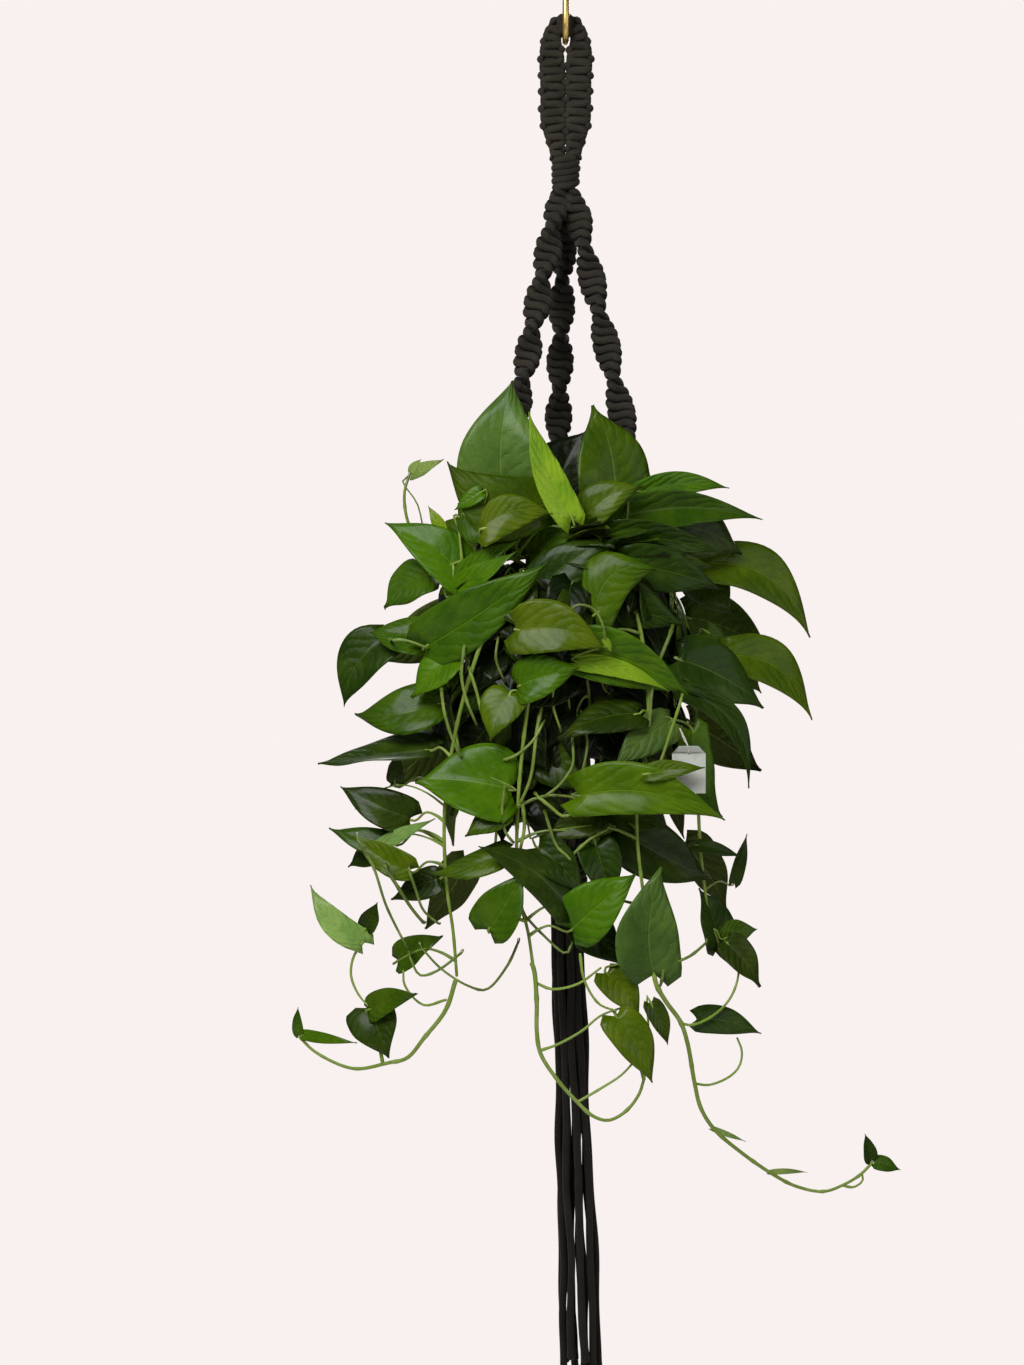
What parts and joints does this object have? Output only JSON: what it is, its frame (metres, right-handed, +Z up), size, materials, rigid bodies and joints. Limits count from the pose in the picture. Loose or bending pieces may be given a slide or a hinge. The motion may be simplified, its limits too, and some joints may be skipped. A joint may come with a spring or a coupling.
{
  "type": "hanging macrame planter",
  "caption": "Knotted black cord hanger with three spiral arms and a tassel on a brass ceiling hook, cradling a pot of trailing pothos.",
  "frame": {"origin": "centre of the ceiling plate's top face, which lies against the ceiling", "axes": "+Z up into the ceiling; -Y is the front, the side the hook's neck leans to; +X is to the right seen from the front"},
  "size_m": [0.5075, 0.2535, 1.207],
  "materials": {
    "brass": "satin",
    "black_cord": "matte",
    "pot_plastic": "satin",
    "soil": "matte",
    "leaf": "satin",
    "paper": "matte",
    "string": "matte"
  },
  "bodies": {
    "ceiling_hook": {"ceiling_plate": "brass", "plate_screw_1": "brass", "plate_screw_2": "brass", "plate_screw_3": "brass", "hook": "brass"},
    "loop": {"hanging_loop": "black_cord"},
    "collar": {"top_collar": "black_cord"},
    "cradle": {"arm_left": "black_cord", "arm_right": "black_cord", "arm_back": "black_cord", "net_upper_1": "black_cord", "net_upper_2": "black_cord", "net_upper_3": "black_cord", "net_upper_4": "black_cord", "net_upper_5": "black_cord", "net_upper_6": "black_cord", "net_knot_1": "black_cord", "net_knot_2": "black_cord", "net_knot_3": "black_cord", "net_lower_1": "black_cord", "net_lower_2": "black_cord", "net_lower_3": "black_cord", "bottom_knot": "black_cord"},
    "planted_pot": {"pot": "pot_plastic", "soil": "soil", "vine_crown_left": "leaf", "vine_crown_right": "leaf", "vine_left": "leaf", "vine_lower_left": "leaf", "vine_front": "leaf", "vine_front_right": "leaf", "vine_right": "leaf", "vine_back_left": "leaf", "vine_back_right": "leaf"},
    "tassel": {"tassel_cord_01": "black_cord", "tassel_cord_02": "black_cord", "tassel_cord_03": "black_cord", "tassel_cord_04": "black_cord", "tassel_cord_05": "black_cord", "tassel_cord_06": "black_cord", "tassel_cord_07": "black_cord", "tassel_cord_08": "black_cord", "tassel_cord_09": "black_cord", "tassel_cord_10": "black_cord", "tassel_cord_11": "black_cord", "tassel_cord_12": "black_cord"},
    "vine_end_left": {"trailing_vine_left": "leaf"},
    "vine_end_centre": {"trailing_vine_centre": "leaf"},
    "vine_end_right": {"trailing_vine_right": "leaf"},
    "card": {"tag": "paper", "tag_string": "string"}
  },
  "joints": [
    {"name": "loop_swing", "type": "hinge", "parent": "ceiling_hook", "child": "loop", "pos_m": [0, 0, -0.062], "axis": [0, 1, 0], "range_deg": [-15, 15]},
    {"name": "hanger_twist", "type": "hinge", "parent": "loop", "child": "collar", "pos_m": [0, 0, -0.162], "axis": [0, 0, 1], "range_deg": [-40, 40]},
    {"name": "cradle_swing", "type": "hinge", "parent": "collar", "child": "cradle", "pos_m": [0, 0, -0.19], "axis": [1, 0, 0], "range_deg": [-8, 8]},
    {"name": "pot_lift", "type": "slide", "parent": "cradle", "child": "planted_pot", "axis": [0, 0, 1], "range_m": [0, 0.012]},
    {"name": "tassel_swing", "type": "hinge", "parent": "cradle", "child": "tassel", "pos_m": [0, 0, -0.777], "axis": [0, 1, 0], "range_deg": [-12, 12]},
    {"name": "vine_left_swing", "type": "hinge", "parent": "planted_pot", "child": "vine_end_left", "pos_m": [-0.091, -0.097, -0.846], "axis": [0, 1, 0], "range_deg": [-8, 8]},
    {"name": "vine_centre_swing", "type": "hinge", "parent": "planted_pot", "child": "vine_end_centre", "pos_m": [-0.027, -0.114, -0.836], "axis": [0, 1, 0], "range_deg": [-8, 8]},
    {"name": "vine_right_swing", "type": "hinge", "parent": "planted_pot", "child": "vine_end_right", "pos_m": [0.072, -0.108, -0.848], "axis": [0, 1, 0], "range_deg": [-8, 8]},
    {"name": "tag_swing", "type": "hinge", "parent": "planted_pot", "child": "card", "pos_m": [0.09, -0.129, -0.64], "axis": [0, 1, 0], "range_deg": [-15, 15]}
  ]
}
